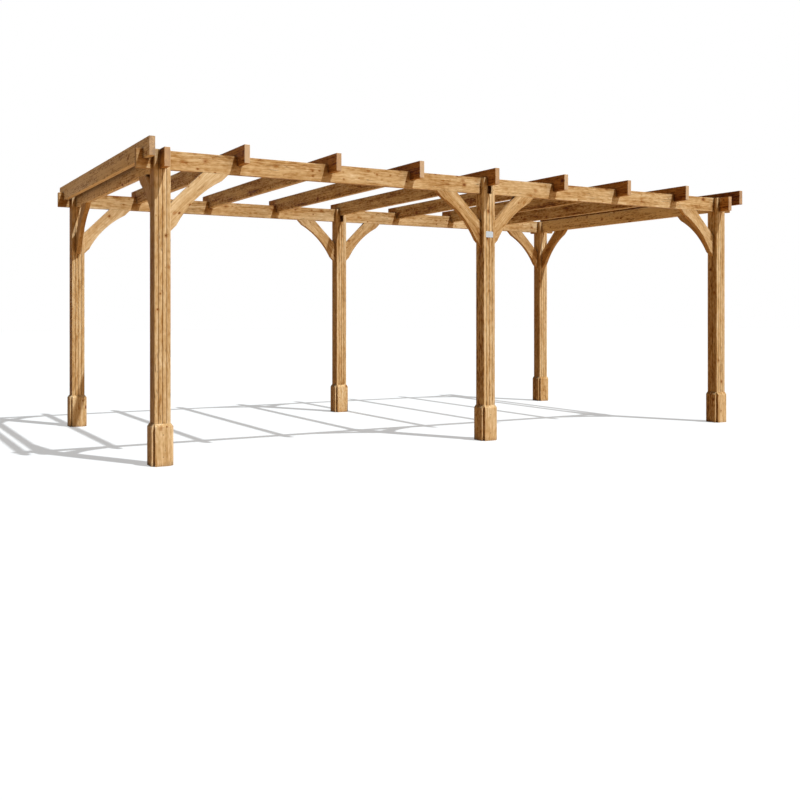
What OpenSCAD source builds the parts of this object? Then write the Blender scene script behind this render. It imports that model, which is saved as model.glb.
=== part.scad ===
// Open timber pergola: six grooved posts in two rows, long beams and side beams halved
// together in the slotted post heads, nine notched rafters and twelve arched braces.
// Origin on the ground under the middle of the plan; X along the front, Y from front to back.

/* [Plan] */
// Distance between post centres along the front
bay_length = 3000; // [2000:10:4000]
// Distance between post centres from front to back
bay_depth = 3000; // [2000:10:4000]

/* [Posts] */
// Width of the square posts
post_width = 125; // [110:1:180]
// Height of the seat in the post head, where the beams lie
seat_height = 2240; // [1800:10:2800]
// Number of upright grooves on each post face
groove_count = 3; // [1:1:3]
// Width of a groove at the surface
groove_width = 6; // [2:0.5:8]
// Depth of a groove
groove_depth = 4; // [1:0.5:6]
// Chamfer on the upright edges of the posts
post_chamfer = 3; // [1:0.5:6]

/* [Beams and rafters] */
// Thickness of the beams and rafters
timber_thickness = 45; // [32:1:60]
// Depth of the beams and rafters
timber_depth = 145; // [95:1:220]
// How far the beams and rafters run past the post faces
overhang = 125; // [100:5:300]
// Number of rafters, with the middle one over the middle posts
rafter_count = 9; // [5:2:13]
// Gap between the left end rafter and the corner posts
left_rafter_gap = 28; // [5:1:40]
// Clearance on each side of a timber in its slot or notch
slot_clearance = 0.5; // [0.2:0.1:2]

/* [Braces] */
// Length of the lower edge of a brace, along the beam and down the post
brace_leg = 475; // [350:5:700]
// Width of the board that a brace is cut from
brace_width = 150; // [95:5:180]
// Thickness of the braces
brace_thickness = 45; // [32:1:60]
// Rise of the arch cut in the lower edge of a brace
brace_arch = 39; // [10:1:60]
// Straight length left at each end of the lower edge, beside the arch
brace_foot = 80; // [20:5:150]

/* [Plinths] */
// Height of the plinth boards
plinth_height = 320; // [150:10:500]
// Thickness of the plinth boards
plinth_thickness = 21; // [12:1:40]
// Height of the chamfer at the top of a plinth board
plinth_chamfer = 24; // [5:1:60]
// Flat left on the top edge of a plinth board
plinth_top_flat = 3; // [1:0.5:8]
// How far each upright edge of a plinth board stays short of the post corner
plinth_reveal = 1; // [0.5:0.5:6]

/* [Hidden] */
post_colour = "#C4925A";
plinth_colour = "#BC8850";
beam_colour = "#CB9A60";
rafter_colour = "#C08C52";
brace_colour = "#D0A068";
// Cuts run this far past the faces that they open through
overcut = 10;
arc_sides = 360;

// Half laps: each timber gives up half of its depth
lap = timber_depth / 2;
slot_width = timber_thickness + 2 * slot_clearance;
post_height = seat_height + timber_depth;
row_y = bay_depth / 2;
beam_end_x = bay_length + post_width / 2 + overhang;
rafter_end_y = row_y + post_width / 2 + overhang;
rafter_pitch = (2 * beam_end_x - timber_thickness) / (rafter_count - 1);
middle_rafter = (rafter_count + 1) / 2;
left_rafter_x = -bay_length - post_width / 2 - left_rafter_gap - timber_thickness / 2;

// Names of the two rows and of the three places in a row
rows = ["front", "back"];
places = ["left", "middle", "right"];
ends = ["left", "right"];
// Braces: name, place in the row, row, and the way each one leans from its post
braces = [
    for (r = [0, 1]) each [
        [str("brace_", rows[r], "_left"), 0, r, 0],
        [str("brace_", rows[r], "_middle_left"), 1, r, 180],
        [str("brace_", rows[r], "_middle_right"), 1, r, 0],
        [str("brace_", rows[r], "_right"), 2, r, 180],
        [str("brace_side_left_", rows[r]), 0, r, 90 + 180 * r],
        [str("brace_side_right_", rows[r]), 2, r, 90 + 180 * r]
    ]
];

function place_x(place) = (place - 1) * bay_length;
function row_place_y(row) = (2 * row - 1) * row_y;
function end_sign(end) = 2 * end - 1;
function rafter_x(i) = i == 1 ? left_rafter_x : (i - middle_rafter) * rafter_pitch;
function post_name(kind, row, place) = str(kind, "_", rows[row], "_", places[place]);
function beam_name(row, end) = str("beam_", rows[row], "_", ends[end]);
function side_beam_name(end) = str("beam_side_", ends[end]);
function rafter_name(i) = str("rafter_", i);

// One grooved face of the post, as a line of points from its left edge to its right edge
function groove_points(x) = [
    [x - groove_width / 2, -post_width / 2],
    [x, -post_width / 2 + groove_depth],
    [x + groove_width / 2, -post_width / 2]
];
function face_points() = concat(
    [[-post_width / 2 + post_chamfer, -post_width / 2]],
    [for (i = [1 : groove_count]) each groove_points(-post_width / 2 + i * post_width / (groove_count + 1))],
    [[post_width / 2 - post_chamfer, -post_width / 2]]
);
function turned(p, a) = [p.x * cos(a) - p.y * sin(a), p.x * sin(a) + p.y * cos(a)];

// Four grooved faces with chamfered edges between them
module post_section() {
    polygon([for (a = [0 : 90 : 270]) each [for (p = face_points()) turned(p, a)]]);
}

// Slot across a post head for a timber that lies along X
module head_slot() {
    translate([-post_width / 2 - overcut, -slot_width / 2, seat_height])
        cube([post_width + 2 * overcut, slot_width, timber_depth + overcut]);
}

module post(row, place) {
    color(post_colour)
        translate([place_x(place), row_place_y(row), 0])
            difference() {
                linear_extrude(height = post_height) post_section();
                head_slot();
                rotate([0, 0, 90]) head_slot();
            }
}

// Section of a plinth board, from the post face outwards, with its chamfered top
module plinth_section() {
    polygon([
        [0, 0],
        [plinth_thickness, 0],
        [plinth_thickness, plinth_height - plinth_chamfer],
        [plinth_top_flat, plinth_height],
        [0, plinth_height]
    ]);
}

// Four boards round the foot of a post, one on each face
module plinth(row, place) {
    board_width = post_width - 2 * plinth_reveal;
    color(plinth_colour)
        translate([place_x(place), row_place_y(row), 0])
            for (a = [0 : 90 : 270])
                rotate([0, 0, a])
                    translate([post_width / 2, board_width / 2, 0])
                        rotate([90, 0, 0])
                            linear_extrude(height = board_width) plinth_section();
}

// Half lap cut across a timber that lies along X, with its middle at the origin
module lap_cut() {
    cut_width = timber_thickness + 2 * overcut;
    translate([-slot_width / 2, -cut_width / 2, 0])
        cube([slot_width, cut_width, lap + overcut]);
}

// One length of a long beam, from the middle post to its end, lapped for the side beam
module long_beam(row, end) {
    color(beam_colour)
        translate([0, row_place_y(row), seat_height])
            difference() {
                translate([end == 0 ? -beam_end_x : 0, -timber_thickness / 2, 0])
                    cube([beam_end_x, timber_thickness, timber_depth]);
                translate([end_sign(end) * bay_length, 0, lap]) lap_cut();
            }
}

// A timber from front to back, with a lap cut in its underside over each long beam
module cross_timber(x, z) {
    translate([x, 0, z])
        difference() {
            translate([-timber_thickness / 2, -rafter_end_y, 0])
                cube([timber_thickness, 2 * rafter_end_y, timber_depth]);
            for (row = [0, 1])
                translate([0, row_place_y(row), lap])
                    rotate([180, 0, 90]) lap_cut();
        }
}

module side_beam(end) {
    color(beam_colour) cross_timber(end_sign(end) * bay_length, seat_height);
}

module rafter(i) {
    color(rafter_colour) cross_timber(rafter_x(i), seat_height + lap);
}

// Brace in the corner between a post face at x = 0 and a beam at z = 0, leaning towards +X
module brace_shape() {
    upper_leg = brace_leg - brace_width * sqrt(2);
    chord = brace_leg * sqrt(2) - 2 * brace_foot;
    arc_radius = chord * chord / (8 * brace_arch) + brace_arch / 2;
    arc_middle = brace_leg / 2 + (arc_radius - brace_arch) / sqrt(2);
    rotate([90, 0, 0])
        difference() {
            translate([0, 0, -brace_thickness / 2])
                linear_extrude(height = brace_thickness)
                    polygon([[0, -upper_leg], [0, -brace_leg], [brace_leg, 0], [upper_leg, 0]]);
            translate([arc_middle, -arc_middle, -brace_thickness / 2 - overcut])
                cylinder(r = arc_radius, h = brace_thickness + 2 * overcut, $fn = arc_sides);
        }
}

module brace(place, row, heading) {
    color(brace_colour)
        translate([place_x(place), row_place_y(row), seat_height])
            rotate([0, 0, heading])
                translate([post_width / 2, 0, 0]) brace_shape();
}

for (r = [0, 1]) for (p = [0 : 2]) post(r, p);
for (r = [0, 1]) for (p = [0 : 2]) plinth(r, p);
for (r = [0, 1]) for (e = [0, 1]) long_beam(r, e);
for (e = [0, 1]) side_beam(e);
for (i = [1 : rafter_count]) rafter(i);
for (b = braces) brace(b[1], b[2], b[3]);
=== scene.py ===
import math
import random

import bmesh
import bpy
from mathutils import Matrix, Vector


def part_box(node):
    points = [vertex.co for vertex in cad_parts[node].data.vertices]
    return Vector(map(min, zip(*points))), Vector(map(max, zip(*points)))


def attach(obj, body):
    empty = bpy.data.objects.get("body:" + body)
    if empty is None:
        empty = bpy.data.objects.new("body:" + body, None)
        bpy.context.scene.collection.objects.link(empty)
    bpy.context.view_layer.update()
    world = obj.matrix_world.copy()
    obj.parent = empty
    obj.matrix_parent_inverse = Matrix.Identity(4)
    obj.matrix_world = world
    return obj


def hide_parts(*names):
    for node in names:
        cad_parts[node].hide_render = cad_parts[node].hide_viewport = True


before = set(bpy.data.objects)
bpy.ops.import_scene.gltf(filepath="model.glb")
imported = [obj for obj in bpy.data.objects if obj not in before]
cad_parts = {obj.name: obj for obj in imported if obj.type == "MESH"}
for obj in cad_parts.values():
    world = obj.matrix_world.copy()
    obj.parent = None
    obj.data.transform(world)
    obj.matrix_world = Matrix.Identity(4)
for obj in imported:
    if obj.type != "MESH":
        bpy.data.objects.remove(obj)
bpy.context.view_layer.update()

MM = 0.001
X, Y, Z = Vector((1, 0, 0)), Vector((0, 1, 0)), Vector((0, 0, 1))

# Sizes read from the frame, in metres
post_low, post_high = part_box("post_front_middle")
post_width = post_high.x - post_low.x
half_post = post_width / 2
beam_low, beam_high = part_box("beam_front_left")
front_row = (beam_low.y + beam_high.y) / 2
seat_height = beam_low.z

# Grooves in the posts, as they are cut in the solids, and the strip of wood between two of them
GROOVE_COUNT = 3
GROOVE_WIDTH = 6 * MM
GROOVE_DEPTH = 4 * MM
post_strip = post_width / (GROOVE_COUNT + 1)
# How much the outer edges of each kind of timber are eased
POST_ARRIS = 1.0 * MM
PLINTH_ARRIS = 1.5 * MM
BRACE_ARRIS = 2.0 * MM
BOARD_ARRIS = 2.5 * MM

# Camera, matched to the photograph's frame of 800 by 800 pixels
IMAGE_SIDE = 800
FOCAL_PIXELS = 965.63
HORIZON_ROW = 315.74
CAMERA_PLACE = (-5.086, -8.748, 1.132)
CAMERA_YAW = math.radians(30.0)
CAMERA_REACH = 500.0
SENSOR_MM = 36.0


def linear(hex_colour):
    """An sRGB hex colour as linear RGBA."""
    values = [int(hex_colour[i:i + 2], 16) / 255 for i in (1, 3, 5)]
    return tuple(v / 12.92 if v <= 0.04045 else ((v + 0.055) / 1.055) ** 2.4 for v in values) + (1.0,)


def add(tree, kind, sockets=None, out=0, stops=(), **settings):
    """Adds a node, sets or links its sockets and gives back one of its outputs, or the node itself."""
    node = tree.nodes.new(kind)
    for name, value in settings.items():
        setattr(node, name, value)
    for key, value in (sockets or {}).items():
        for item in value if isinstance(value, list) else [value]:
            if isinstance(item, bpy.types.NodeSocket):
                tree.links.new(item, node.inputs[key])
            else:
                node.inputs[key].default_value = item
    for number, (place, colour) in enumerate(stops):
        elements = node.color_ramp.elements
        element = elements[number] if number < len(elements) else elements.new(place)
        element.position = place
        element.color = colour
    return node if out is None else node.outputs[out]


def new_material(name):
    """An empty node material and its tree."""
    material = bpy.data.materials.new(name)
    material.use_nodes = True
    material.node_tree.nodes.clear()
    return material, material.node_tree


def put_in_scene(name, data):
    """A new object in the scene, at the origin."""
    thing = bpy.data.objects.new(name, data)
    bpy.context.scene.collection.objects.link(thing)
    return thing


# Kinds of node, and settings of them, that come up often
MATH = "ShaderNodeMath"
VECTOR = "ShaderNodeVectorMath"
RANGE = "ShaderNodeMapRange"
NOISE = "ShaderNodeTexNoise"
MIX = "ShaderNodeMix"
RAMP = "ShaderNodeValToRGB"
ATTRIBUTE = "ShaderNodeAttribute"
SMOOTH = {"interpolation_type": "SMOOTHSTEP"}
IN_COLOUR = {"out": 2, "data_type": "RGBA"}
# Sockets of a Map Range, which gives BOTTOM to TOP from START to END, and the two colours of a Mix
START, END, BOTTOM, TOP = 1, 2, 3, 4
UNDER, OVER = 6, 7

# Clouds that make up the figure of the wood: length along the grain and width across it, in millimetres.
# The fibres and the nap are drawn coarser than life, so that they show.
WOOD_CLOUDS = {
    "wander": (900, 260),
    "sapwood": (800, 120),
    "swerve": (240, 34),
    "streak": (1400, 18),
    "patch": (420, 70),
    "fibre": (150, 5),
    "mottle": (45, 16),
    "crack": (420, 16),
    "cracked": (300, 70),
    "nap": (60, 2.5),
}
# How strongly the clouds show on every board, and how much more with the figure of the board
CLOUD_WEIGHTS = {"streak": (0.0, 0.7), "patch": (0.0, 0.95), "fibre": (0.35, 0.5), "mottle": (0.2, 0.6)}
RING_WEIGHT = 0.19
SAPWOOD_WEIGHT = -0.13
HALO_WEIGHT = 0.09

# How the tree grew: its heart wanders, its trunk tapers, its rings swerve, and ragged sapwood lies outside
HEART_WANDER = 90 * MM
TRUNK_TAPER = 0.010
RING_SWERVE = 12 * MM
KNOT_SWERVE = 14 * MM
SAPWOOD_RAGGED = 24 * MM
SAPWOOD_START = 66 * MM
SAPWOOD_FULL = 72 * MM

# Knots lie one to a cell of this width; pin knots are smaller and closer than the large ones
KNOT_CELL_MM = 75
PIN_CELL_MM = 50
PIN_GAP = 0.5
PIN_SIZE = 0.48
# Shape of a knot, in parts of its size: soft rim, zones round it, unevenness, and what it loses in sapwood
KNOT_RIM = 0.08
KNOT_GLOW = 0.7
KNOT_HALO = 1.2
KNOT_RAGGED = 0.35
KNOT_LOSS = -0.25
# Knots are stretched along the grain, and so is their unevenness
KNOT_SQUEEZE = (0.75, 1, 1)
KNOT_RAGGED_CELL = (1.6, 0.8, 0.8)
# Each cell has a chance from 0 to 1: from where to where its knot grows to full size, and so does the halo
KNOT_CHANCE = (0.15, 1.05)
HALO_CHANCE = (0.3, 0.5)
KNOT_YEAR = 4 * MM

# Drying checks follow the middle of one cloud, and show only in the high parts of another
CRACK_EDGE, CRACK_CORE = 0.012, 0.004
CRACKED_START, CRACKED_FULL = 0.56, 0.62

# The stain on the wood, from pale early wood to dark late wood
STAIN = [
    (0.0, linear("#FCE6BE")),
    (0.23, linear("#E8D0A6")),
    (0.53, linear("#CCA977")),
    (0.74, linear("#B0854D")),
    (0.89, linear("#885628")),
    (1.0, linear("#6A401C")),
]
# Where a board of no tone lies on the stain, and how far one step of tone moves it
STAIN_MIDDLE = 0.55
TONE_STEP = 0.14
YEAR_RING = [(0.0, (0, 0, 0, 1)), (0.4, (0.1, 0.1, 0.1, 1)), (0.85, (1, 1, 1, 1)), (1.0, (0, 0, 0, 1))]
KNOT_RING = [(0.0, linear("#6F4120")), (0.7, linear("#8C5629")), (1.0, linear("#4A2812"))]

# Marks on the stained wood, some of them painted shade: how far each one covers it, and its colour
AMBER_COVER, AMBER = 0.6, linear("#A0642A")
CRACK_COVER, CRACK = 0.75, linear("#4A2A12")
# Painted shade in the grooves of the posts
GROOVE_SHADE_COVER, GROOVE_SHADE = 0.75, linear("#6B3F14")
# Painted shade, drawn as a deeper stain on the front lengths
SOAK_SHADE_COVER, SOAK_SHADE = 0.9, linear("#CE9E50")
CHALK_COVER, CHALK = 0.4, linear("#DCC8AA")
# Painted shade in tight places between parts
NOOK_SHADE_COVER, NOOK_SHADE = 0.9, linear("#451C0A")
# Depth in a groove at which the painted shade starts and is darkest
GROOVE_SHADE_START, GROOVE_SHADE_FULL = 0.1, 0.8
# Where the painted soak shade starts and is full, outside the clear length of 1, and how ragged its edge is
SOAK_SHADE_START, SOAK_SHADE_FULL = 1.01, 1.07
SOAK_SHADE_RAGGED = 0.1
# Painted shade is full where only this part of the air round a place is open; grooves count as more open
# than they are
NOOK_SHADE_SHUT = 0.25
GROOVE_AIR = 0.5
AIR_RAYS = 6

# How the planed surface takes the light
EARLY_WOOD_ROUGH = 0.75
LATE_WOOD_ROUGH = 0.6
WOOD_GLOSS = 0.15
LATE_WOOD_RISE = 0.3
CRACK_SINK = -1.6
WOOD_RELIEF = 0.5 * MM


def wood_clouds(tree, grain):
    """The clouds of the figure, stretched along the grain."""
    cloud = {}
    for feature, (long_mm, wide_mm) in WOOD_CLOUDS.items():
        stretch = (1 / (long_mm * MM), 1 / (wide_mm * MM), 1 / (wide_mm * MM))
        spread = add(tree, VECTOR, {0: grain, 1: stretch}, operation="MULTIPLY")
        out = "Color" if feature == "wander" else "Fac"
        cloud[feature] = add(tree, NOISE, {"Vector": spread, "Scale": 1.0, "Detail": 2.0}, out)
    return cloud


def heart_distance(tree, grain, cloud):
    """How far the wood is from the heart of the tree, which wanders slowly along the board."""
    across = add(tree, VECTOR, {0: grain, 1: (0, 1, 1)}, operation="MULTIPLY")
    wander = add(tree, VECTOR, {0: cloud["wander"], 1: (0.5, 0.5, 0.5)}, operation="SUBTRACT")
    shift = {0: wander, 1: (0, HEART_WANDER, HEART_WANDER), 2: across}
    heart = add(tree, VECTOR, shift, operation="MULTIPLY_ADD")
    return add(tree, VECTOR, {0: heart}, "Value", operation="LENGTH")


def grow_knots(tree, grain, sapwood, knot_gap_mm, knot_mm):
    """Knots: uneven balls scattered through the timber and cut by its faces, large ones and pin knots.
    Gives back their cores, a wide and a close zone round them, and the distance from their middles."""
    knot, halo, glow, knot_radius = 0.0, 0.0, 0.0, 0.0
    large = (knot_gap_mm, KNOT_CELL_MM, knot_mm)
    pin = (PIN_GAP * knot_gap_mm, PIN_CELL_MM, PIN_SIZE * knot_mm)
    for gap_mm, wide_mm, size_mm in (large, pin):
        size = size_mm * MM
        cell = (gap_mm * MM, wide_mm * MM, wide_mm * MM)
        spread = add(tree, VECTOR, {0: grain, 1: cell}, operation="DIVIDE")
        spot = add(tree, "ShaderNodeTexVoronoi", {"Vector": spread, "Scale": 1.0, "Randomness": 0.95}, None)
        centre = add(tree, VECTOR, {0: spot.outputs["Position"], 1: cell}, operation="MULTIPLY")

        # Distance from the middle of the knot
        away = add(tree, VECTOR, {0: grain, 1: centre}, operation="SUBTRACT")
        away = add(tree, VECTOR, {0: away, 1: KNOT_SQUEEZE}, operation="MULTIPLY")
        off = add(tree, VECTOR, {0: away}, "Value", operation="LENGTH")
        ragged_cell = tuple(part * size for part in KNOT_RAGGED_CELL)
        ragged = add(tree, VECTOR, {0: grain, 1: ragged_cell}, operation="DIVIDE")
        ragged = add(tree, NOISE, {"Vector": ragged, "Scale": 1.0, "Detail": 2.0})
        off = add(tree, MATH, {0: ragged, 1: KNOT_RAGGED * size, 2: off}, operation="MULTIPLY_ADD")

        # How far a place lies inside the knot, and from that its core and the zones round it
        chance = add(tree, "ShaderNodeSeparateColor", {0: spot.outputs["Color"]})
        chances = {0: chance, START: KNOT_CHANCE[0], END: KNOT_CHANCE[1], TOP: size}
        reach = add(tree, RANGE, chances, **SMOOTH)
        inside = add(tree, MATH, {0: reach, 1: off}, operation="SUBTRACT")
        inside = add(tree, MATH, {0: sapwood, 1: KNOT_LOSS * size, 2: inside}, operation="MULTIPLY_ADD")
        grown = add(tree, RANGE, {0: chance, START: HALO_CHANCE[0], END: HALO_CHANCE[1]}, **SMOOTH)
        core = add(tree, RANGE, {0: inside, START: -KNOT_RIM * size, END: KNOT_RIM * size}, **SMOOTH)
        wide = add(tree, RANGE, {0: inside, START: -KNOT_HALO * size, END: 0.0}, **SMOOTH)
        close = add(tree, RANGE, {0: inside, START: -KNOT_GLOW * size, END: 0.0}, **SMOOTH)
        knot = add(tree, MATH, {0: knot, 1: core}, operation="MAXIMUM")
        halo = add(tree, MATH, {0: wide, 1: grown, 2: halo}, operation="MULTIPLY_ADD")
        glow = add(tree, MATH, {0: close, 1: grown, 2: glow}, operation="MULTIPLY_ADD")
        knot_radius = add(tree, MATH, {0: knot_radius, 1: off}, operation="ADD")
    return knot, halo, glow, knot_radius


def year_bands(tree, grain, radius, halo, cloud, ring_mm):
    """Late wood of the year rings, with the taper of the trunk and the swerve round knots."""
    along = add(tree, "ShaderNodeSeparateXYZ", {0: grain}, "X")
    depth = radius
    for bend, amount in ((along, TRUNK_TAPER), (halo, KNOT_SWERVE), (cloud["swerve"], RING_SWERVE)):
        depth = add(tree, MATH, {0: bend, 1: amount, 2: depth}, operation="MULTIPLY_ADD")
    years = add(tree, MATH, {0: depth, 1: ring_mm * MM}, operation="DIVIDE")
    year = add(tree, MATH, {0: years}, operation="FRACT")
    return add(tree, RAMP, {0: year}, stops=YEAR_RING)


def drying_checks(tree, cloud):
    """Thin cracks along the grain, here and there."""
    line = add(tree, MATH, {0: cloud["crack"], 1: 0.5}, operation="SUBTRACT")
    line = add(tree, MATH, {0: line}, operation="ABSOLUTE")
    line = add(tree, RANGE, {0: line, START: CRACK_EDGE, END: CRACK_CORE}, **SMOOTH)
    here = {0: cloud["cracked"], START: CRACKED_START, END: CRACKED_FULL, TOP: CRACK_COVER}
    where = add(tree, RANGE, here, **SMOOTH)
    return add(tree, MATH, {0: line, 1: where}, operation="MULTIPLY")


def softwood(name, ring_mm, knot_gap_mm, knot_mm, figure, nook_shade_mm=70, nook_shade_air=0.64):
    """Stained, planed softwood: growth rings cut lengthwise give pale and dark streaks and arches,
    knots turn the rings aside, and the same rings show as arcs on the sawn ends."""
    material, tree = new_material(name)

    # What the mesh tells of each place: where it lies in its board, how the stain was taken there, and
    # where light and shade are painted
    grain = add(tree, ATTRIBUTE, out="Vector", attribute_name="grain")
    told = {}
    for layer in ("tone", "groove", "sawn", "station", "soaked", "lively"):
        told[layer] = add(tree, ATTRIBUTE, out="Fac", attribute_name=layer)
    cloud = wood_clouds(tree, grain)
    radius = heart_distance(tree, grain, cloud)

    # Heartwood near the heart is darker and holds the knots; sapwood outside it is pale and clear
    border = add(tree, MATH, {0: cloud["sapwood"], 1: SAPWOOD_RAGGED, 2: radius}, operation="MULTIPLY_ADD")
    sapwood = add(tree, RANGE, {0: border, START: SAPWOOD_START, END: SAPWOOD_FULL}, **SMOOTH)
    knot, halo, glow, knot_radius = grow_knots(tree, grain, sapwood, knot_gap_mm, knot_mm)
    band = year_bands(tree, grain, radius, halo, cloud, ring_mm)

    # Streaks, patches and fibres lie along the grain, livelier on some faces, over the board's own tone
    drawn = 0.0
    for feature, (steady, more) in CLOUD_WEIGHTS.items():
        swing = add(tree, MATH, {0: cloud[feature], 1: 0.5}, operation="SUBTRACT")
        drawn = add(tree, MATH, {0: swing, 1: steady + more * figure, 2: drawn}, operation="MULTIPLY_ADD")
    growth = ((band, RING_WEIGHT * figure), (halo, HALO_WEIGHT), (sapwood, SAPWOOD_WEIGHT * figure))
    for mark, weight in growth:
        drawn = add(tree, MATH, {0: mark, 1: weight, 2: drawn}, operation="MULTIPLY_ADD")
    drawn = add(tree, MATH, {0: drawn, 1: told["lively"], 2: drawn}, operation="MULTIPLY_ADD")
    shade = add(tree, MATH, {0: told["tone"], 1: TONE_STEP, 2: drawn}, operation="MULTIPLY_ADD")
    shade = add(tree, MATH, {0: shade, 1: STAIN_MIDDLE}, operation="ADD")
    colour = add(tree, RAMP, {0: shade}, stops=STAIN)

    # Knots are ringed and dark, with the resin's amber round them
    amber = add(tree, MATH, {0: glow, 1: AMBER_COVER}, operation="MULTIPLY")
    colour = add(tree, MIX, {0: amber, UNDER: colour, OVER: AMBER}, **IN_COLOUR)
    knot_years = add(tree, MATH, {0: knot_radius, 1: KNOT_YEAR}, operation="DIVIDE")
    knot_year = add(tree, MATH, {0: knot_years}, operation="FRACT")
    knot_colour = add(tree, RAMP, {0: knot_year}, stops=KNOT_RING)
    colour = add(tree, MIX, {0: knot, UNDER: colour, OVER: knot_colour}, **IN_COLOUR)
    crack = drying_checks(tree, cloud)
    colour = add(tree, MIX, {0: crack, UNDER: colour, OVER: CRACK}, **IN_COLOUR)

    # Painted shade in the grooves, and painted shade drawn as a deeper stain near the rafters' front ends;
    # the sawn ends stay pale
    groove_shading = {0: told["groove"], START: GROOVE_SHADE_START, END: GROOVE_SHADE_FULL, TOP: GROOVE_SHADE_COVER}
    groove_shade = add(tree, RANGE, groove_shading, **SMOOTH)
    colour = add(tree, MIX, {0: groove_shade, UNDER: colour, OVER: GROOVE_SHADE}, **IN_COLOUR)
    # Painted shade, drawn as a deeper stain outside the clear length on faces not turned right or up
    station = add(tree, MATH, {0: told["station"]}, operation="ABSOLUTE")
    station = add(tree, MATH, {0: cloud["patch"], 1: SOAK_SHADE_RAGGED, 2: station}, operation="MULTIPLY_ADD")
    soak_shade = add(tree, RANGE, {0: station, START: SOAK_SHADE_START, END: SOAK_SHADE_FULL, TOP: SOAK_SHADE_COVER}, **SMOOTH)
    soak_shade = add(tree, MATH, {0: soak_shade, 1: told["soaked"]}, operation="MULTIPLY")
    colour = add(tree, MIX, {0: soak_shade, UNDER: colour, OVER: SOAK_SHADE}, blend_type="MULTIPLY", **IN_COLOUR)
    chalk = add(tree, MATH, {0: told["sawn"], 1: CHALK_COVER}, operation="MULTIPLY")
    colour = add(tree, MIX, {0: chalk, UNDER: colour, OVER: CHALK}, **IN_COLOUR)

    # Painted shade: places hemmed in by nearby surfaces are darkened, but not the grooves, which are open
    open_air = add(tree, "ShaderNodeAmbientOcclusion", {"Distance": nook_shade_mm * MM}, "AO", samples=AIR_RAYS)
    open_air = add(tree, MATH, {0: told["groove"], 1: GROOVE_AIR, 2: open_air}, operation="MULTIPLY_ADD")
    nook_shade = add(tree, RANGE, {0: open_air, START: nook_shade_air, END: NOOK_SHADE_SHUT, TOP: NOOK_SHADE_COVER}, **SMOOTH)
    colour = add(tree, MIX, {0: nook_shade, UNDER: colour, OVER: NOOK_SHADE}, **IN_COLOUR)

    # Late wood and nap stand a little proud, and cracks are sunk
    height = add(tree, MATH, {0: band, 1: LATE_WOOD_RISE, 2: cloud["nap"]}, operation="MULTIPLY_ADD")
    height = add(tree, MATH, {0: crack, 1: CRACK_SINK, 2: height}, operation="MULTIPLY_ADD")
    bump = add(tree, "ShaderNodeBump", {"Strength": 0.5, "Distance": WOOD_RELIEF, "Height": height})
    rough = add(tree, RANGE, {0: band, BOTTOM: EARLY_WOOD_ROUGH, TOP: LATE_WOOD_ROUGH})
    surface = add(tree, "ShaderNodeBsdfPrincipled", {
        "Base Color": colour,
        "Roughness": rough,
        "Specular IOR Level": WOOD_GLOSS,
        "Normal": bump,
    })
    add(tree, "ShaderNodeOutputMaterial", {"Surface": surface}, None)
    return material


# Calm upright streaks with a few small knots
POST_WOOD = softwood("stained_softwood_post", ring_mm=9.0, knot_gap_mm=240, knot_mm=15, figure=0.6)
# The knottiest boards: large dark knots in amber along the front and the back
BEAM_WOOD = softwood("stained_softwood_beam", ring_mm=9.0, knot_gap_mm=150, knot_mm=22, figure=0.6)
# Streaky boards with few knots, with painted shade where they cross the long beams
RAFTER_WOOD = softwood("stained_softwood_rafter", ring_mm=9.5, knot_gap_mm=380, knot_mm=21, figure=0.8,
                       nook_shade_mm=150, nook_shade_air=0.96)
# Streaky boards, with painted shade in the narrow gap beside the end rafter
SIDE_WOOD = softwood("stained_softwood_side", ring_mm=9.0, knot_gap_mm=260, knot_mm=20, figure=0.8,
                     nook_shade_mm=170, nook_shade_air=0.85)
# Short clean boards
BRACE_WOOD = softwood("stained_softwood_brace", ring_mm=9.0, knot_gap_mm=200, knot_mm=18, figure=0.5)
# Short boards with small knots close together
PLINTH_WOOD = softwood("stained_softwood_plinth", ring_mm=9.0, knot_gap_mm=160, knot_mm=15, figure=0.55)

# How the finish of a small fitting is rubbed: the part of the marks from coat to rubbed, and their effects
RUB_START, RUB_FULL = 0.35, 0.65
RUB_POLISH = 0.1
RUB_RELIEF = 0.05 * MM


def fitting_metal(name, coat, rubbed, metallic, roughness, mark_mm):
    """Metal of a small fitting: specks or brushed lines where its finish is rubbed paler and smoother."""
    material, tree = new_material(name)
    place = add(tree, "ShaderNodeTexCoord", out="Object")
    spread = add(tree, VECTOR, {0: place, 1: tuple(size * MM for size in mark_mm)}, operation="DIVIDE")
    mark = add(tree, NOISE, {"Vector": spread, "Scale": 1.0, "Detail": 2.0})
    colour = add(tree, RAMP, {0: mark}, stops=[(RUB_START, linear(coat)), (RUB_FULL, linear(rubbed))])
    polish = {START: RUB_START, END: RUB_FULL, BOTTOM: roughness + RUB_POLISH, TOP: roughness - RUB_POLISH}
    rough = add(tree, RANGE, {0: mark, **polish})
    bump = add(tree, "ShaderNodeBump", {"Strength": 0.3, "Distance": RUB_RELIEF, "Height": mark})
    surface = add(tree, "ShaderNodeBsdfPrincipled", {
        "Base Color": colour,
        "Metallic": metallic,
        "Roughness": rough,
        "Normal": bump,
    })
    add(tree, "ShaderNodeOutputMaterial", {"Surface": surface}, None)
    return material


# Dull brown coat with paler rubbed specks, which hardly shows against the stain
SCREW_STEEL = fitting_metal("bronze_coated_steel", "#7F5D32", "#97723F", 0.3, 0.6, (2.0, 2.0, 2.0))
# Painted shade: the recesses are near-black plugs
SCREW_RECESS_SHADE = fitting_metal("recess_shade_steel", "#3D2913", "#573B1D", 0.0, 0.8, (0.8, 0.8, 0.8))
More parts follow.
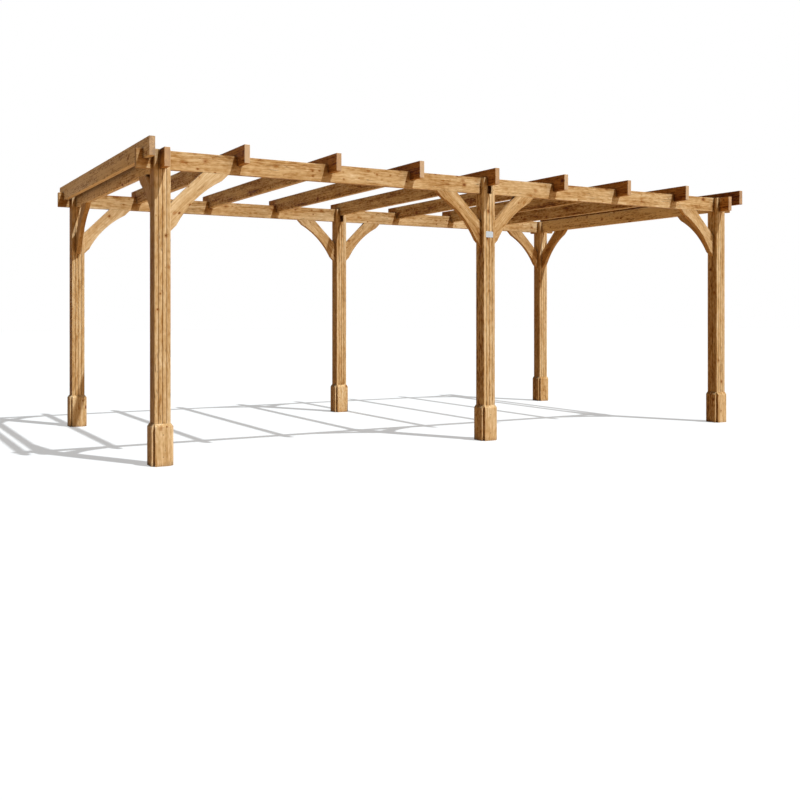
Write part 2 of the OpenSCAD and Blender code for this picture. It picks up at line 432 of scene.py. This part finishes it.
# Satin metal brushed from side to side, the one pale cool spot on the frame
PLATE_METAL = fitting_metal("brushed_aluminium", "#A2AEBA", "#B4C0CC", 0.2, 0.45, (50.0, 1.2, 1.2))

# Cleaning of the CAD meshes, and the angles that count as an edge to ease and as an edge to shade
WELD = 0.01 * MM
FLAT_ANGLE = math.radians(0.5)
EASED_ANGLE = math.radians(25)
SHADED_ANGLE = math.radians(20)


def eased_copy(node, arris):
    """A clean copy of a CAD node's solid with its outer edges eased."""
    solid = bmesh.new()
    solid.from_mesh(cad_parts[node].data)
    bmesh.ops.remove_doubles(solid, verts=solid.verts, dist=WELD)
    bmesh.ops.dissolve_limit(solid, angle_limit=FLAT_ANGLE, verts=solid.verts, edges=solid.edges)
    outer = [e for e in solid.edges if e.is_manifold and e.is_convex]
    sharp = [e for e in outer if e.calc_face_angle() > EASED_ANGLE]
    rounding = {"offset": arris, "segments": 2, "profile": 0.6, "clamp_overlap": True}
    bmesh.ops.bevel(solid, geom=sharp, affect="EDGES", **rounding)
    return solid


def board_middle(board):
    """The mean place of a board's vertices."""
    return sum((vert.co for vert in board), Vector()) / len(board)


def islands(solid):
    """The separate boards of a mesh, each as a list of its vertices, in the order of their places."""
    seen = set()
    boards = []
    for start in solid.verts:
        if start not in seen:
            seen.add(start)
            board = [start]
            for vert in board:
                near = [other for edge in vert.link_edges for other in edge.verts if other not in seen]
                seen.update(near)
                board.extend(near)
            boards.append(board)
    return sorted(boards, key=lambda board: [round(value, 3) for value in board_middle(board)])


def lay_grain(board, along, across, heart_across, heart_through, shift, layer):
    """Writes each vertex's place in its own board: along the grain, across it and through it."""
    through = along.cross(across)
    middle = board_middle(board)
    heart = Vector((shift, heart_across, heart_through))
    for vert in board:
        away = vert.co - middle
        vert[layer] = Vector((away.dot(along), away.dot(across), away.dot(through))) + heart


def finish_timber(solid, name, node, material):
    """Turns a timber's mesh into the piece that stands for its CAD node."""
    mesh = bpy.data.meshes.new(name)
    solid.to_mesh(mesh)
    solid.free()
    mesh.shade_smooth()
    mesh.set_sharp_from_angle(angle=SHADED_ANGLE)
    mesh.materials.append(material)
    piece = put_in_scene(name, mesh)
    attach(piece, "root")
    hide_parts(node)
    return piece


# How dark each kind of board is stained, as the photograph shows it
BOARD_TONES = {
    "post_front_left": -0.35,
    "post_back_left": 0.2,
    "post": -0.2,
    "beam_front_left": 0.5,
    "beam_front": 0.45,
    "beam_back_left": 0.4,
    "beam_back_right": 0.0,
    "beam_side": -0.6,
    "rafter_9": 0.8,
    "rafter": -0.35,
    "brace_front_left": -1.0,
    "brace_front_middle_right": 0.7,
    "brace_front_right": 0.0,
    "brace_back_left": -0.4,
    "brace_back_middle_left": -0.3,
    "brace_back_right": 0.9,
    "brace": 0.35,
    "plinth_front_left": -1.0,
    "plinth_back_left": -0.6,
    "plinth_front_right": 0.0,
    "plinth_back_right": 0.1,
    "plinth": -0.4,
}
# How far the tone strays from board to board, and from strip to strip on the side and front faces of a post
BOARD_STRAY = 0.25
SIDE_STRIP_STRAY = 0.55
FRONT_STRIP_STRAY = 0.35
# Painted light: left and under faces of the timbers at the ends, and the rafters' undersides, are given a
# paler tone
PAINTED_LIGHT_LEFT = {"beam_side": -3.5, "rafter_1": -2.6}
PAINTED_LIGHT_UNDER = {"beam_side": -3.6, "rafter_1": -3.8, "rafter": -2.6}
# Painted shade: the left faces of the posts are given a darker tone than the others
PAINTED_SHADE_LEFT = {"post_front_left": 0.8, "post_back_left": 0.8, "post_back_middle": 0.4, "post": 0.25}
# Painted shade: the faces inside the slots of the post heads and the upward faces of the plinths are given
# a darker tone
SLOT_SHADE_TONE = 1.2
PLINTH_TOP_SHADE = 0.4
# The figure is drawn out more on the left sides, which see no sun
LIVELY_LEFT = {
    "beam_side": 1.3,
    "rafter_1": 1.1,
    "rafter": 0.6,
    "post_front_middle": 1.5,
    "post_front_right": 0.5,
    "plinth": 1.0,
}
# Sawn ends darker or paler than their board; every second rafter is of a paler lot
END_TONES = {"rafter_1": 2.9, "rafter_2": -0.8, "rafter_4": -0.8, "rafter_6": -0.8, "rafter_8": -0.8}
# How chalky the sawn ends are: on the paler lot, on the timbers from front to back, and on the others
PALE_END, BARE_END, STAINED_END = 1.5, 1.0, 0.2

# Boards cut from another place in the log than their name would give
BOARD_SEEDS = {"beam_front_left": 11, "beam_back_left": 12}
# How far up or down the log a board may come from, in metres
LOG_SHIFT = 20
# How far the heart of the log may lie from the middle of a board, in millimetres
HEART_ACROSS_MM = 50
HEART_THROUGH_MM = (20, 55)
BEAM_HEART_ACROSS_MM = (35, 60)
BEAM_HEART_THROUGH_MM = (15, 25)
POST_HEART_MM = 14

# How far a face's normal leans one way when the face counts as facing it, as a sawn end and as sloping up
FACING = 0.5
END_FACING = 0.9
SLOPING_UP = 0.3


def listed(values, node, other=0.0):
    """The value for a board, by the first name in a list that fits it."""
    return next((value for start, value in values.items() if node.startswith(start)), other)


def take_stain(faces, node, along, stained, clear_length, layers):
    """Writes on each face of a board how it has taken the stain, with painted light and shade on some
    faces, and how lively its figure is.
    """
    tone, sawn, soaked, lively = layers
    end_tone = END_TONES.get(node, 0.0)
    for face in faces:
        face[tone] = stained
        # Painted shade: the upward faces of the plinths are darker
        if node.startswith("plinth") and face.normal.z > SLOPING_UP:
            face[tone] += PLINTH_TOP_SHADE
        # Painted light: left faces of the timbers at the ends are paler
        if face.normal.x < -FACING:
            face[tone] = listed(PAINTED_LIGHT_LEFT, node, stained)
            face[lively] = listed(LIVELY_LEFT, node)
        # Painted light: under faces of the side beams and rafters are paler
        if face.normal.z < -FACING:
            face[tone] = listed(PAINTED_LIGHT_UNDER, node, stained)
        # Painted soak shade goes only on faces not turned right or up
        if max(face.normal.x, face.normal.z) < FACING:
            face[soaked] = 1.0
        if abs(face.normal.dot(along)) > END_FACING:
            face[tone] += end_tone
            if end_tone < 0:
                face[sawn] = PALE_END
            else:
                face[sawn] = BARE_END if clear_length else STAINED_END


def timber(node, along, across, material, arris=BOARD_ARRIS, clear_length=None):
    """One piece of timber, or one node of several boards, with its grain laid along it.
    Outside the clear length, which is given from front to back, painted shade is drawn as a deeper stain on
    the faces not turned right or up."""
    rng = random.Random(BOARD_SEEDS.get(node, "board " + node))
    solid = eased_copy(node, arris)
    grain = solid.verts.layers.float_vector.new("grain")
    station = solid.verts.layers.float.new("station")
    layers = [solid.faces.layers.float.new(name) for name in ("tone", "sawn", "soaked", "lively")]
    for board in islands(solid):
        heart_across = rng.uniform(-HEART_ACROSS_MM, HEART_ACROSS_MM) * MM
        heart_through = rng.choice((-1, 1)) * rng.uniform(*HEART_THROUGH_MM) * MM
        if node.startswith(("beam_front", "beam_back")):
            heart_across = -rng.uniform(*BEAM_HEART_ACROSS_MM) * MM
            heart_through = rng.uniform(*BEAM_HEART_THROUGH_MM) * MM
        shift = rng.uniform(-LOG_SHIFT, LOG_SHIFT)
        lay_grain(board, along, across, heart_across, heart_through, shift, grain)
        stained = listed(BOARD_TONES, node) + rng.uniform(-BOARD_STRAY, BOARD_STRAY)
        faces = {face for vert in board for face in vert.link_faces}
        take_stain(faces, node, along, stained, clear_length, layers)
    if clear_length:
        for vert in solid.verts:
            vert[station] = (2 * vert.co.y - clear_length[0] - clear_length[1]) / (clear_length[1] - clear_length[0])
    return finish_timber(solid, "timber_" + node, node, material)


# Room for rounding when a vertex is looked for in a groove, and how near to a corner no groove comes
GROOVE_ROOM = 0.2 * MM
GROOVE_CORNER = 8 * MM
# Faces deeper than this under the outside of a post head belong to its slots
SLOT_SKIN = 1 * MM


def mark_grooves(solid, middle, layer):
    """Writes on each vertex of a post how deep it lies in a groove, from 0 to 1."""
    for vert in solid.verts:
        offset = sorted((abs(vert.co.x - middle.x), abs(vert.co.y - middle.y)))
        beside = abs(offset[0] - post_strip * round(offset[0] / post_strip))
        depth = half_post - offset[1]
        grooved = beside < GROOVE_WIDTH / 2 + GROOVE_ROOM and depth < GROOVE_DEPTH + GROOVE_ROOM
        if grooved and offset[0] < half_post - GROOVE_CORNER:
            vert[layer] = depth / GROOVE_DEPTH


def post(node):
    """A square post: heart boxed in the middle, each strip between the grooves its own tone."""
    rng = random.Random("heart of " + node)
    solid = eased_copy(node, POST_ARRIS)
    grain = solid.verts.layers.float_vector.new("grain")
    groove = solid.verts.layers.float.new("groove")
    tone = solid.faces.layers.float.new("tone")
    lively = solid.faces.layers.float.new("lively")
    low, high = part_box(node)
    middle = (low + high) / 2
    heart_across = rng.uniform(-POST_HEART_MM, POST_HEART_MM) * MM
    heart_through = rng.uniform(-POST_HEART_MM, POST_HEART_MM) * MM
    shift = rng.uniform(-LOG_SHIFT, LOG_SHIFT)
    lay_grain(solid.verts[:], Z, X, heart_across, heart_through, shift, grain)
    mark_grooves(solid, middle, groove)
    tones = {}
    for face in solid.faces:
        away = face.calc_center_median() - middle
        if abs(away.x) > abs(away.y):
            key = ("x", away.x > 0, int((away.y + half_post) / post_strip))
        else:
            key = ("y", away.y > 0, int((away.x + half_post) / post_strip))
        if key not in tones:
            stray = SIDE_STRIP_STRAY if key[0] == "x" else FRONT_STRIP_STRAY
            tones[key] = listed(BOARD_TONES, node) + rng.uniform(-stray, stray)
            # Painted shade: the left faces are darker
            if key[:2] == ("x", False):
                tones[key] += listed(PAINTED_SHADE_LEFT, node)
        face[tone] = tones[key]
        if face.normal.x < -FACING:
            face[lively] = listed(LIVELY_LEFT, node)
        # Painted shade on the faces inside the slots
        inside = max(abs(away.x), abs(away.y)) < half_post - SLOT_SKIN
        if inside and away.z > 0 and face.normal.z < FACING:
            face[tone] = SLOT_SHADE_TONE
    return finish_timber(solid, "timber_" + node, node, POST_WOOD)


def brace_lean(node):
    """The level direction in which a brace leans away from its post."""
    low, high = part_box(node)
    middle = (low + high) / 2
    posts = [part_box(name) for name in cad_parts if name.startswith("post_")]
    posts = [Vector(((a.x + b.x) / 2, (a.y + b.y) / 2, middle.z)) for a, b in posts]
    nearest = min(posts, key=lambda place: (place - middle).length)
    return (middle - nearest).normalized()


# How far the painted soak shade reaches in past the front row on the rafters, and stays out from both rows
# on side beams
RAFTER_SOAK_SHADE_REACH = 420 * MM
SIDE_BEAM_SPARED = 60 * MM
# The lengths, from front to back, where no soak shade is painted
RAFTER_CLEAR = (front_row + RAFTER_SOAK_SHADE_REACH, -front_row)
SIDE_BEAM_CLEAR = (front_row - SIDE_BEAM_SPARED, -front_row + SIDE_BEAM_SPARED)
CLEAR_ALL_ALONG = (2 * front_row, -2 * front_row)

# Timbers
timbers = {}
for name in sorted(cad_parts):
    kind = name.split("_")[0]
    if kind == "post":
        timbers[name] = post(name)
    elif kind == "plinth":
        timbers[name] = timber(name, Z, X, PLINTH_WOOD, PLINTH_ARRIS)
    elif kind == "rafter":
        wood, clear_length = (SIDE_WOOD, CLEAR_ALL_ALONG) if name == "rafter_1" else (RAFTER_WOOD, RAFTER_CLEAR)
        timbers[name] = timber(name, Y, Z, wood, clear_length=clear_length)
    elif name.startswith("beam_side"):
        timbers[name] = timber(name, Y, Z, SIDE_WOOD, clear_length=SIDE_BEAM_CLEAR)
    elif kind == "beam":
        timbers[name] = timber(name, X, Z, BEAM_WOOD)
    else:
        lean = brace_lean(name)
        along = (lean + Z).normalized()
        across = (Z - lean).normalized()
        timbers[name] = timber(name, along, across, BRACE_WOOD, BRACE_ARRIS)

# Screws: where they go up a plinth board and along a brace, and from the middle of the seat in a post head
PLINTH_SCREWS = (0.22, 0.74)
BRACE_SCREWS = (0.14, 0.86)
HEAD_SCREW_ASIDE = 46 * MM
HEAD_SCREW_UP = 36 * MM
# Their heads
HEAD_RADIUS = 4.0 * MM
HEAD_FLATNESS = 0.3
RECESS_RADIUS = 1.7 * MM
RECESS_DEPTH = 2.6 * MM
SPIN_SEED = 7


def screw_lines(node):
    """The lines on which the screws of a timber go in: a point outside it and the way into the wood."""
    low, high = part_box(node)
    middle = (low + high) / 2
    kind = node.split("_")[0]
    if kind == "plinth":
        for outward in (X, -X, Y, -Y):
            for part in PLINTH_SCREWS:
                yield Vector((middle.x, middle.y, high.z * part)) + outward, -outward
    elif kind == "post":
        seat = Vector((middle.x, middle.y, seat_height + HEAD_SCREW_UP))
        for outward in (Y, -Y) if "middle" in node else (Y, -Y, X, -X):
            aside = Vector((outward.y, outward.x, 0)) * HEAD_SCREW_ASIDE
            for sign in (-1, 1):
                yield seat + outward + sign * aside, -outward
    elif kind == "rafter":
        for row in (front_row, -front_row):
            yield Vector((middle.x, row, high.z + 1)), -Z
    elif kind == "brace":
        lean = brace_lean(node)
        outward = (lean - Z).normalized()
        rise = high.z - low.z
        foot = Vector((middle.x, middle.y, low.z)) - lean * rise / 2
        for part in BRACE_SCREWS:
            yield foot + (lean + Z) * rise * part + outward, -outward


def screw_places():
    """The points where those lines meet the timbers, with the way the surface faces there."""
    places = []
    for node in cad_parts:
        for outside, inward in screw_lines(node):
            hit, place, facing, _ = timbers[node].ray_cast(outside, inward)
            if hit:
                places.append((place, facing))
    return places


def screw_heads():
    """A node group that sets a low round head with a dark six-sided plug, painted shade for a recess, on
    every point.
    """
    group = bpy.data.node_groups.new("screw_heads", "GeometryNodeTree")
    group.interface.new_socket("Geometry", in_out="INPUT", socket_type="NodeSocketGeometry")
    group.interface.new_socket("Head radius", in_out="INPUT", socket_type="NodeSocketFloat")
    group.interface.new_socket("Recess radius", in_out="INPUT", socket_type="NodeSocketFloat")
    group.interface.new_socket("Spin seed", in_out="INPUT", socket_type="NodeSocketInt")
    group.interface.new_socket("Geometry", in_out="OUTPUT", socket_type="NodeSocketGeometry")
    given = add(group, "NodeGroupInput", out=None).outputs
    ball = {"Segments": 16, "Rings": 6, "Radius": given["Head radius"]}
    dome = add(group, "GeometryNodeMeshUVSphere", ball)
    dome = add(group, "GeometryNodeTransform", {0: dome, "Scale": (1.0, 1.0, HEAD_FLATNESS)})
    plug = {"Vertices": 6, "Radius": given["Recess radius"], "Depth": RECESS_DEPTH}
    recess = add(group, "GeometryNodeMeshCylinder", plug)
    mark = {0: recess, "Name": "recess", "Value": True}
    recess = add(group, "GeometryNodeStoreNamedAttribute", mark, data_type="BOOLEAN", domain="FACE")
    head = add(group, "GeometryNodeJoinGeometry", {0: [dome, recess]})
    facing = add(group, "GeometryNodeInputNamedAttribute", {"Name": "facing"}, data_type="FLOAT_VECTOR")
    stand = add(group, "FunctionNodeAlignRotationToVector", {"Vector": facing}, axis="Z")
    spin = add(group, "FunctionNodeRandomValue", {2: 0.0, 3: math.tau, "Seed": given["Spin seed"]}, 1)
    turn = add(group, "FunctionNodeAxisAngleToRotation", {"Axis": (0, 0, 1), "Angle": spin})
    stand = add(group, "FunctionNodeRotateRotation", {0: stand, 1: turn}, rotation_space="LOCAL")
    points = add(group, "GeometryNodeMeshToPoints", {"Mesh": given["Geometry"]})
    set_out = {"Points": points, "Instance": head, "Rotation": stand}
    heads = add(group, "GeometryNodeInstanceOnPoints", set_out)
    real = add(group, "GeometryNodeRealizeInstances", {0: heads})
    steel = add(group, "GeometryNodeSetMaterial", {0: real, "Material": SCREW_STEEL})
    # Painted shade: the plug for the recess gets the near-black steel
    marked = add(group, "GeometryNodeInputNamedAttribute", {"Name": "recess"}, data_type="BOOLEAN")
    done = {0: steel, "Selection": marked, "Material": SCREW_RECESS_SHADE}
    done = add(group, "GeometryNodeSetMaterial", done)
    add(group, "NodeGroupOutput", {0: done}, None)
    return group


# Geometry Nodes sets a head on each place, and the result is kept as a plain mesh
places = screw_places()
screw_mesh = bpy.data.meshes.new("screw_points")
screw_mesh.from_pydata([place for place, facing in places], [], [])
facings = screw_mesh.attributes.new("facing", "FLOAT_VECTOR", "POINT")
for item, (place, facing) in zip(facings.data, places):
    item.vector = facing
screw_piece = put_in_scene("screws", screw_mesh)
modifier = screw_piece.modifiers.new("heads", "NODES")
modifier.node_group = screw_heads()
settings = {"Head radius": HEAD_RADIUS, "Recess radius": RECESS_RADIUS, "Spin seed": SPIN_SEED}
for item in modifier.node_group.interface.items_tree:
    if item.name in settings:
        modifier[item.identifier] = settings[item.name]
set_screws = screw_piece.evaluated_get(bpy.context.evaluated_depsgraph_get())
solid_screws = bpy.data.meshes.new_from_object(set_screws)
screw_piece.modifiers.remove(modifier)
screw_piece.data = solid_screws
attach(screw_piece, "root")

# A bare plate with rounded corners near the top of the front middle post
PLATE_WIDTH = 80 * MM
PLATE_THICKNESS = 3 * MM
PLATE_HEIGHT = 55 * MM
PLATE_CORNER = 9 * MM
PLATE_RIM = 0.6 * MM
PLATE_CENTRE = Vector((1 * MM, post_low.y, 1870 * MM))
RIM_ANGLE = math.radians(60)
plate = bmesh.new()
plate_size = Matrix.Diagonal((PLATE_WIDTH, PLATE_THICKNESS, PLATE_HEIGHT, 1))
bmesh.ops.create_cube(plate, size=1.0, matrix=plate_size)
corners = [e for e in plate.edges if abs((e.verts[0].co - e.verts[1].co).y) > PLATE_THICKNESS / 2]
bmesh.ops.bevel(plate, geom=corners, offset=PLATE_CORNER, segments=8, profile=0.5, affect="EDGES")
rim = [e for e in plate.edges if e.calc_face_angle() > RIM_ANGLE]
bmesh.ops.bevel(plate, geom=rim, offset=PLATE_RIM, segments=2, profile=0.5, affect="EDGES")
bmesh.ops.translate(plate, verts=plate.verts, vec=PLATE_CENTRE)
plate_mesh = bpy.data.meshes.new("front_plate")
plate.to_mesh(plate_mesh)
plate.free()
plate_mesh.materials.append(PLATE_METAL)
plate_piece = put_in_scene("front_plate", plate_mesh)
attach(plate_piece, "root")


def seen_directly(tree):
    """1 where the camera sees the surface, in a reflection or through glass too, and 0 where it only
    throws light on the object."""
    path = add(tree, "ShaderNodeLightPath", out=None).outputs
    seen = add(tree, MATH, {0: path["Is Camera Ray"], 1: path["Is Glossy Ray"]}, operation="MAXIMUM")
    return add(tree, MATH, {0: seen, 1: path["Is Transmission Ray"]}, operation="MAXIMUM")


def sun_lamp(name, way, strength, colour, spread):
    """A far lamp whose light travels one way, spread over an angle in degrees."""
    lamp_data = bpy.data.lights.new(name, "SUN")
    lamp_data.energy = strength
    lamp_data.angle = math.radians(spread)
    lamp_data.color = colour
    lamp = put_in_scene(name, lamp_data)
    lamp.rotation_mode = "QUATERNION"
    lamp.rotation_quaternion = Vector(way).to_track_quat("-Z", "Y")


# Floor: a plain pale plane that keeps the shadow, looks white to the camera and throws warm light back up
FLOOR_HALF = 60.0
FLOOR_GLOW = 0.48
FLOOR_SEEN = linear("#B6B6B5")
FLOOR_BOUNCE = linear("#AD7F49")
WHITE = (1, 1, 1, 1)
floor_mesh = bpy.data.meshes.new("floor")
floor_corners = [(x * FLOOR_HALF, y * FLOOR_HALF, 0) for x, y in ((-1, -1), (1, -1), (1, 1), (-1, 1))]
floor_mesh.from_pydata(floor_corners, [], [(0, 1, 2, 3)])
floor = put_in_scene("floor", floor_mesh)
floor_material, tree = new_material("pale_floor")
seen = seen_directly(tree)
glow = add(tree, MATH, {0: seen, 1: FLOOR_GLOW}, operation="MULTIPLY")
pale = add(tree, MIX, {0: seen, UNDER: FLOOR_BOUNCE, OVER: FLOOR_SEEN}, **IN_COLOUR)
matt = add(tree, "ShaderNodeBsdfDiffuse", {"Color": pale})
lift = add(tree, "ShaderNodeEmission", {"Color": WHITE, "Strength": glow})
both = add(tree, "ShaderNodeAddShader", {0: matt, 1: lift})
add(tree, "ShaderNodeOutputMaterial", {"Surface": both}, None)
floor_mesh.materials.append(floor_material)

# World: white behind the object, soft even light from all round
WORLD_LIGHT = 0.03
world = bpy.data.worlds.new("studio")
bpy.context.scene.world = world
world.use_nodes = True
tree = world.node_tree
tree.nodes.clear()
soft = add(tree, "ShaderNodeBackground", {"Color": WHITE, "Strength": WORLD_LIGHT})
white = add(tree, "ShaderNodeBackground", {"Color": WHITE, "Strength": 1.0})
backdrop = add(tree, "ShaderNodeMixShader", {0: seen_directly(tree), 1: soft, 2: white})
add(tree, "ShaderNodeOutputWorld", {"Surface": backdrop}, None)

# Key light: high from the front right, as the shadows on the photograph's floor show
sun_lamp("key", (-0.289, 0.532, -1), strength=4.35, colour=(0.91, 0.96, 1.0), spread=0.8)
# Fill light: broad and warm from the front, which lifts the shadows on the front faces
sun_lamp("fill", (-0.55, 1, -0.08), strength=1.12, colour=(1.0, 0.86, 0.68), spread=30)

# Camera: level, with the picture shifted so that upright edges stay upright
camera_data = bpy.data.cameras.new("camera")
camera_data.sensor_width = SENSOR_MM
camera_data.lens = FOCAL_PIXELS * SENSOR_MM / IMAGE_SIDE
camera_data.shift_y = (HORIZON_ROW - IMAGE_SIDE / 2) / IMAGE_SIDE
camera_data.clip_end = CAMERA_REACH
camera = put_in_scene("camera", camera_data)
camera.location = CAMERA_PLACE
camera.rotation_euler = (math.radians(90), 0, -CAMERA_YAW)
bpy.context.scene.camera = camera
bpy.context.scene.view_settings.view_transform = "Standard"
